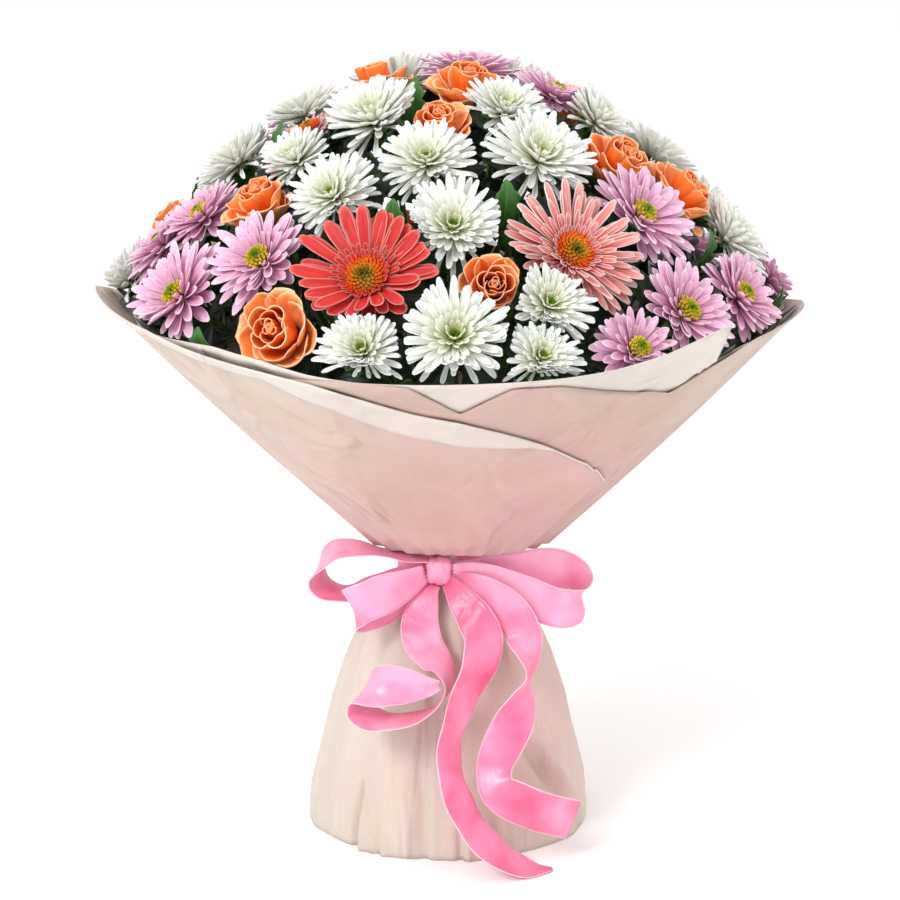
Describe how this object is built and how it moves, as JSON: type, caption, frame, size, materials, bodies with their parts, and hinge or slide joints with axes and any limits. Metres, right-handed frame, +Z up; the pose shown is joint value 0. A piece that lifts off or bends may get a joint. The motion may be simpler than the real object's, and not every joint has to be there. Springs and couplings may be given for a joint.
{
  "type": "mixed flower bouquet",
  "caption": "Hand-tied dome of chrysanthemums, roses and gerberas in a flared paper wrap, tied with a ribbon bow and standing on a paper skirt.",
  "frame": {"origin": "on the surface it stands on, centred below the bouquet's outline as seen from above", "axes": "+Z up along the bound stems, -Y towards the front with the bow, +X to the right as seen from the front"},
  "size_m": [0.4725, 0.4776, 0.5381],
  "materials": {
    "white_petal": "matte",
    "lilac_petal": "matte",
    "rose_petal": "matte",
    "gerbera_petal": "matte",
    "gerbera_disc": "matte",
    "green": "matte",
    "tie": "matte",
    "liner_paper": "matte",
    "wrap_paper": "matte",
    "ribbon": "satin"
  },
  "bodies": {
    "root": {"gerbera_01": "gerbera_petal", "gerbera_02": "gerbera_petal", "gerbera_03": "gerbera_petal", "gerbera_04": "gerbera_petal", "gerbera_disc_01": "gerbera_disc", "gerbera_disc_02": "gerbera_disc", "gerbera_disc_03": "gerbera_disc", "gerbera_disc_04": "gerbera_disc", "lilac_chrysanthemum_01": "lilac_petal", "lilac_chrysanthemum_02": "lilac_petal", "lilac_chrysanthemum_03": "lilac_petal", "lilac_chrysanthemum_04": "lilac_petal", "lilac_chrysanthemum_05": "lilac_petal", "lilac_chrysanthemum_06": "lilac_petal", "lilac_chrysanthemum_07": "lilac_petal", "lilac_chrysanthemum_08": "lilac_petal", "lilac_chrysanthemum_09": "lilac_petal", "lilac_chrysanthemum_10": "lilac_petal", "lilac_chrysanthemum_11": "lilac_petal", "orange_rose_01": "rose_petal", "orange_rose_02": "rose_petal", "orange_rose_03": "rose_petal", "orange_rose_04": "rose_petal", "orange_rose_05": "rose_petal", "orange_rose_06": "rose_petal", "orange_rose_07": "rose_petal", "orange_rose_08": "rose_petal", "orange_rose_09": "rose_petal", "orange_rose_10": "rose_petal", "orange_rose_11": "rose_petal", "ribbon_band": "ribbon", "ribbon_knot": "ribbon", "ribbon_loop_left_front": "ribbon", "ribbon_loop_left_rear": "ribbon", "ribbon_loop_right": "ribbon", "ribbon_tail_left": "ribbon", "ribbon_tail_middle": "ribbon", "ribbon_tail_right": "ribbon", "stem_tie": "tie", "stems_and_leaves": "green", "white_chrysanthemum_01": "white_petal", "white_chrysanthemum_02": "white_petal", "white_chrysanthemum_03": "white_petal", "white_chrysanthemum_04": "white_petal", "white_chrysanthemum_05": "white_petal", "white_chrysanthemum_06": "white_petal", "white_chrysanthemum_07": "white_petal", "white_chrysanthemum_08": "white_petal", "white_chrysanthemum_09": "white_petal", "white_chrysanthemum_10": "white_petal", "white_chrysanthemum_11": "white_petal", "white_chrysanthemum_12": "white_petal", "white_chrysanthemum_13": "white_petal", "white_chrysanthemum_14": "white_petal", "white_chrysanthemum_15": "white_petal", "wrap_left_sheet": "wrap_paper", "wrap_liner": "liner_paper", "wrap_right_sheet": "wrap_paper", "wrap_skirt": "wrap_paper"}
  },
  "joints": []
}
